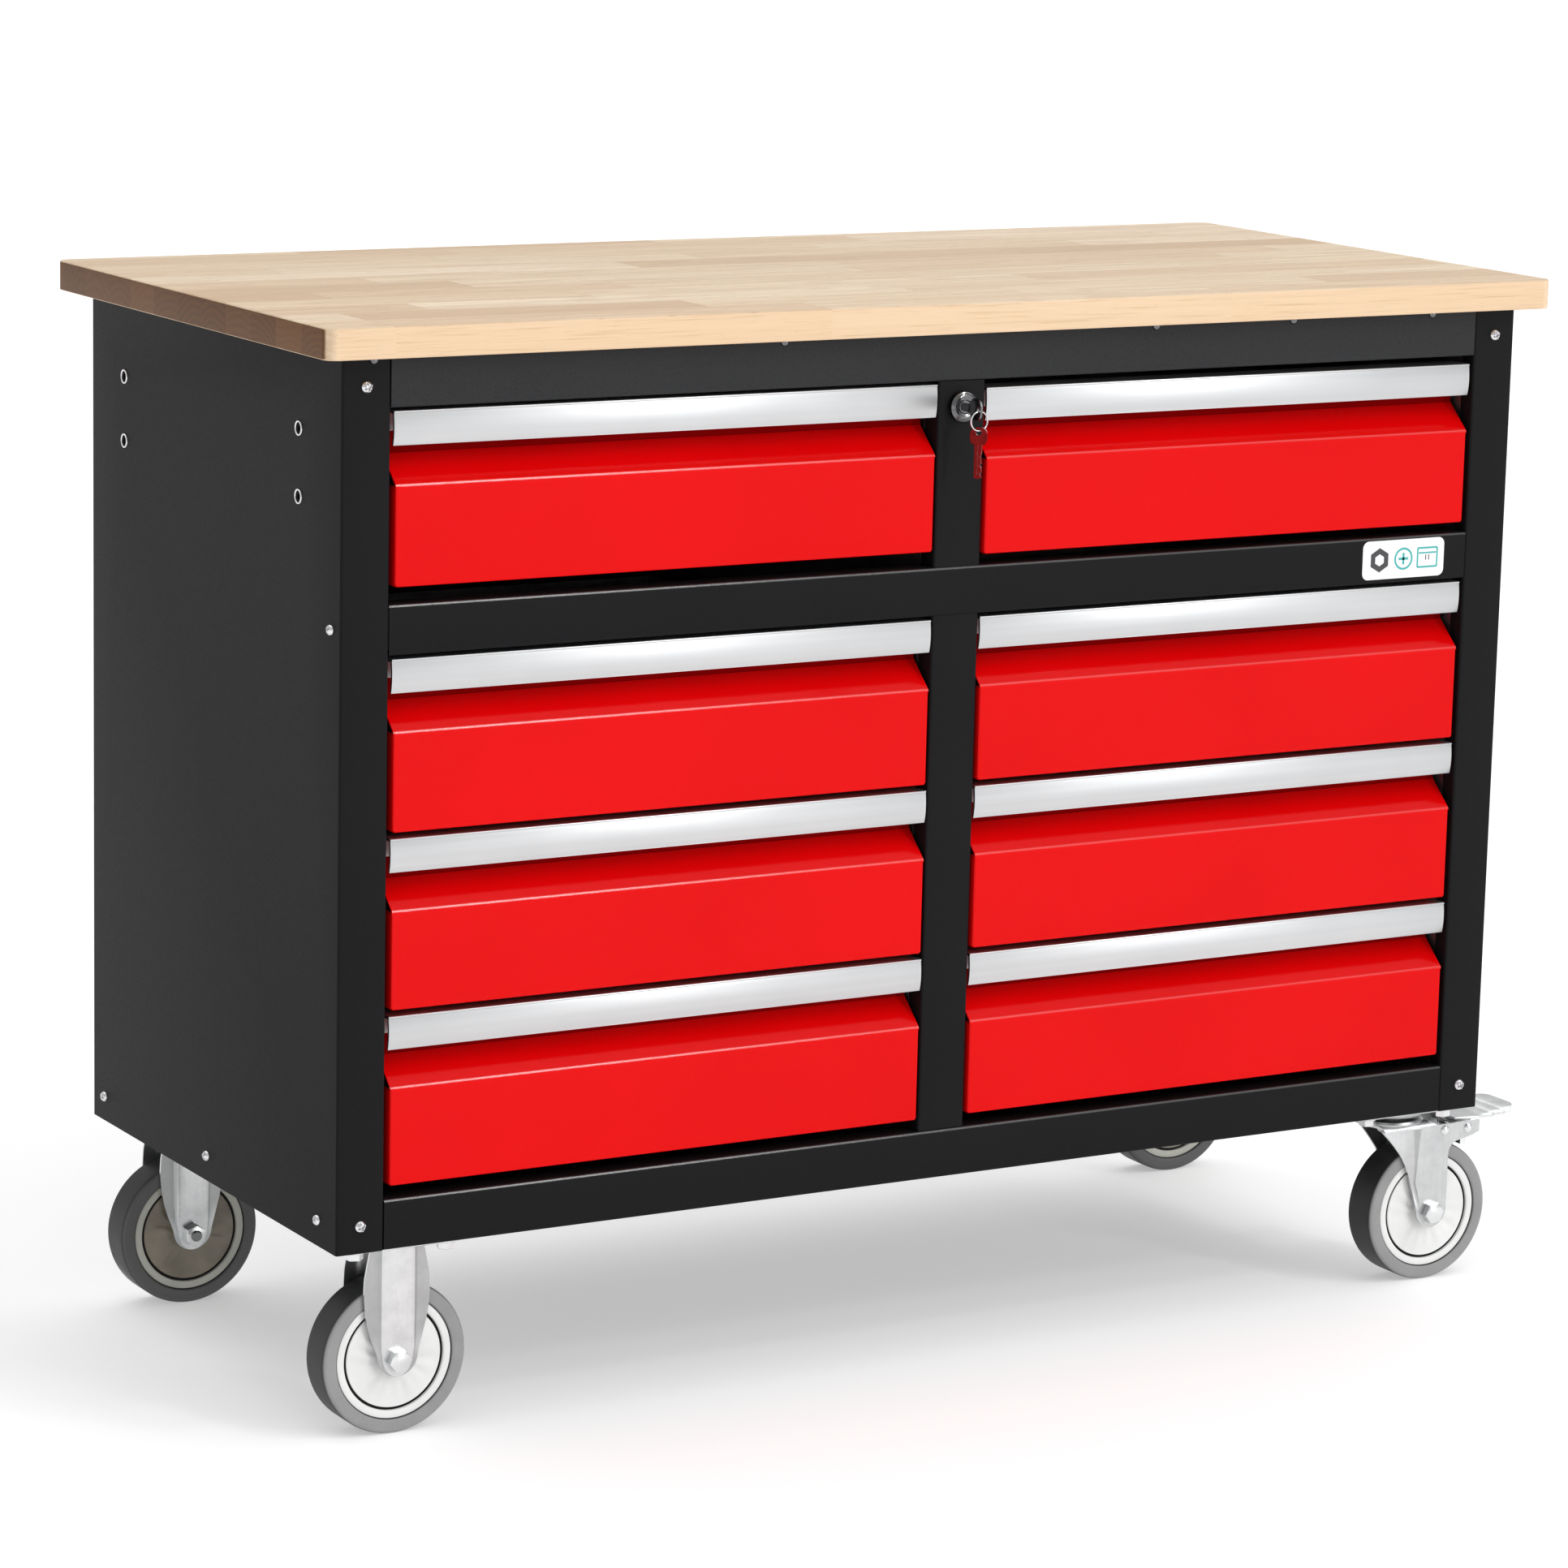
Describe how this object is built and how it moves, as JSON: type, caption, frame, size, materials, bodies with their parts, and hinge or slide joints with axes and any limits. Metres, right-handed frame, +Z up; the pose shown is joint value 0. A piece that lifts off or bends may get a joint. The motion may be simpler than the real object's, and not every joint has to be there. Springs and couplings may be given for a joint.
{
  "type": "workbench with drawers",
  "caption": "Mobile sheet-steel workbench: wooden worktop on a cabinet with two columns of pull-out drawers, a lock, and fixed and braked swivel casters.",
  "frame": {"origin": "on the floor under the middle of the whole bench", "axes": "+X to the right along the bench, +Y from the drawer side to the back, +Z up"},
  "size_m": [1.191, 0.5384, 0.889],
  "materials": {
    "worktop_wood": "oiled finger-jointed lamella board, satin",
    "black_powder_coat": "fine-textured matt black powder coat",
    "red_powder_coat": "semi-gloss red powder coat",
    "handle_aluminium": "satin anodised extrusion",
    "zinc_plate": "bright zinc plating on pressed steel",
    "galvanised_steel": "plain galvanised sheet",
    "tyre_rubber": "grey non-marking rubber, matt",
    "grey_plastic": "moulded polypropylene, matt",
    "lock_chrome": "polished chrome plating"
  },
  "bodies": {
    "cabinet": {"worktop": "worktop_wood", "side_panel_left": "black_powder_coat", "side_panel_right": "black_powder_coat", "inner_panel_left": "galvanised_steel", "inner_panel_right": "galvanised_steel", "centre_partition": "galvanised_steel", "back_panel": "black_powder_coat", "bottom_panel": "black_powder_coat", "bottom_rail": "black_powder_coat", "mid_rail": "black_powder_coat", "top_rail": "black_powder_coat", "centre_post": "black_powder_coat", "lock_housing": "lock_chrome", "fixed_caster_bracket_front": "zinc_plate", "fixed_caster_axle_front": "zinc_plate", "swivel_caster_plate_front": "zinc_plate", "fixed_caster_bracket_rear": "zinc_plate", "fixed_caster_axle_rear": "zinc_plate", "swivel_caster_plate_rear": "zinc_plate"},
    "drawer_left_1": {"drawer_box_left_1": "galvanised_steel", "drawer_front_left_1": "red_powder_coat", "drawer_handle_left_1": "handle_aluminium"},
    "drawer_left_2": {"drawer_box_left_2": "galvanised_steel", "drawer_front_left_2": "red_powder_coat", "drawer_handle_left_2": "handle_aluminium"},
    "drawer_left_3": {"drawer_box_left_3": "galvanised_steel", "drawer_front_left_3": "red_powder_coat", "drawer_handle_left_3": "handle_aluminium"},
    "drawer_left_4": {"drawer_box_left_4": "galvanised_steel", "drawer_front_left_4": "red_powder_coat", "drawer_handle_left_4": "handle_aluminium"},
    "drawer_right_1": {"drawer_box_right_1": "galvanised_steel", "drawer_front_right_1": "red_powder_coat", "drawer_handle_right_1": "handle_aluminium"},
    "drawer_right_2": {"drawer_box_right_2": "galvanised_steel", "drawer_front_right_2": "red_powder_coat", "drawer_handle_right_2": "handle_aluminium"},
    "drawer_right_3": {"drawer_box_right_3": "galvanised_steel", "drawer_front_right_3": "red_powder_coat", "drawer_handle_right_3": "handle_aluminium"},
    "drawer_right_4": {"drawer_box_right_4": "galvanised_steel", "drawer_front_right_4": "red_powder_coat", "drawer_handle_right_4": "handle_aluminium"},
    "fixed_wheel_front": {"fixed_caster_tyre_front": "tyre_rubber", "fixed_caster_hub_front": "grey_plastic"},
    "swivel_fork_front": {"swivel_caster_fork_front": "zinc_plate", "swivel_caster_axle_front": "zinc_plate"},
    "swivel_wheel_front": {"swivel_caster_tyre_front": "tyre_rubber", "swivel_caster_hub_front": "grey_plastic"},
    "pedal_front": {"brake_pedal_front": "zinc_plate"},
    "fixed_wheel_rear": {"fixed_caster_tyre_rear": "tyre_rubber", "fixed_caster_hub_rear": "grey_plastic"},
    "swivel_fork_rear": {"swivel_caster_fork_rear": "zinc_plate", "swivel_caster_axle_rear": "zinc_plate"},
    "swivel_wheel_rear": {"swivel_caster_tyre_rear": "tyre_rubber", "swivel_caster_hub_rear": "grey_plastic"},
    "pedal_rear": {"brake_pedal_rear": "zinc_plate"},
    "lock_plug": {"lock_plug_and_key": "lock_chrome"},
    "key_ring": {"key_ring": "lock_chrome"},
    "spare_key": {"spare_key": "lock_chrome"}
  },
  "joints": [
    {"name": "drawer_left_1_slide", "type": "slide", "parent": "cabinet", "child": "drawer_left_1", "axis": [0, -1, 0], "range_m": [0, 0.32]},
    {"name": "drawer_left_2_slide", "type": "slide", "parent": "cabinet", "child": "drawer_left_2", "axis": [0, -1, 0], "range_m": [0, 0.32]},
    {"name": "drawer_left_3_slide", "type": "slide", "parent": "cabinet", "child": "drawer_left_3", "axis": [0, -1, 0], "range_m": [0, 0.32]},
    {"name": "drawer_left_4_slide", "type": "slide", "parent": "cabinet", "child": "drawer_left_4", "axis": [0, -1, 0], "range_m": [0, 0.32]},
    {"name": "drawer_right_1_slide", "type": "slide", "parent": "cabinet", "child": "drawer_right_1", "axis": [0, -1, 0], "range_m": [0, 0.32]},
    {"name": "drawer_right_2_slide", "type": "slide", "parent": "cabinet", "child": "drawer_right_2", "axis": [0, -1, 0], "range_m": [0, 0.32]},
    {"name": "drawer_right_3_slide", "type": "slide", "parent": "cabinet", "child": "drawer_right_3", "axis": [0, -1, 0], "range_m": [0, 0.32]},
    {"name": "drawer_right_4_slide", "type": "slide", "parent": "cabinet", "child": "drawer_right_4", "axis": [0, -1, 0], "range_m": [0, 0.32]},
    {"name": "fixed_wheel_front_spin", "type": "hinge", "parent": "cabinet", "child": "fixed_wheel_front", "pos_m": [-0.5085, -0.19584, 0.0625], "axis": [0, 1, 0], "continuous": true},
    {"name": "caster_front_swivel", "type": "hinge", "parent": "cabinet", "child": "swivel_fork_front", "pos_m": [0.4675, -0.19584, 0.15], "axis": [0, 0, 1], "continuous": true},
    {"name": "swivel_wheel_front_spin", "type": "hinge", "parent": "swivel_fork_front", "child": "swivel_wheel_front", "pos_m": [0.5025, -0.19584, 0.0625], "axis": [0, 1, 0], "continuous": true},
    {"name": "brake_pedal_front_press", "type": "hinge", "parent": "swivel_fork_front", "child": "pedal_front", "pos_m": [0.539, -0.19584, 0.135], "axis": [0, 1, 0], "range_deg": [0, 16]},
    {"name": "fixed_wheel_rear_spin", "type": "hinge", "parent": "cabinet", "child": "fixed_wheel_rear", "pos_m": [-0.5085, 0.20416, 0.0625], "axis": [0, 1, 0], "continuous": true},
    {"name": "caster_rear_swivel", "type": "hinge", "parent": "cabinet", "child": "swivel_fork_rear", "pos_m": [0.4675, 0.20416, 0.15], "axis": [0, 0, 1], "continuous": true},
    {"name": "swivel_wheel_rear_spin", "type": "hinge", "parent": "swivel_fork_rear", "child": "swivel_wheel_rear", "pos_m": [0.5025, 0.20416, 0.0625], "axis": [0, 1, 0], "continuous": true},
    {"name": "brake_pedal_rear_press", "type": "hinge", "parent": "swivel_fork_rear", "child": "pedal_rear", "pos_m": [0.539, 0.20416, 0.135], "axis": [0, 1, 0], "range_deg": [0, 16]},
    {"name": "lock_turn", "type": "hinge", "parent": "cabinet", "child": "lock_plug", "pos_m": [-0.0205, -0.24284, 0.803], "axis": [0, 1, 0], "range_deg": [0, 90]},
    {"name": "key_ring_swing", "type": "hinge", "parent": "lock_plug", "child": "key_ring", "pos_m": [-0.0205, -0.26364, 0.8019], "axis": [1, 0, 0], "range_deg": [-60, 15]},
    {"name": "spare_key_swing", "type": "hinge", "parent": "key_ring", "child": "spare_key", "pos_m": [-0.0205, -0.26364, 0.7863], "axis": [1, 0, 0], "range_deg": [-45, 12]}
  ]
}
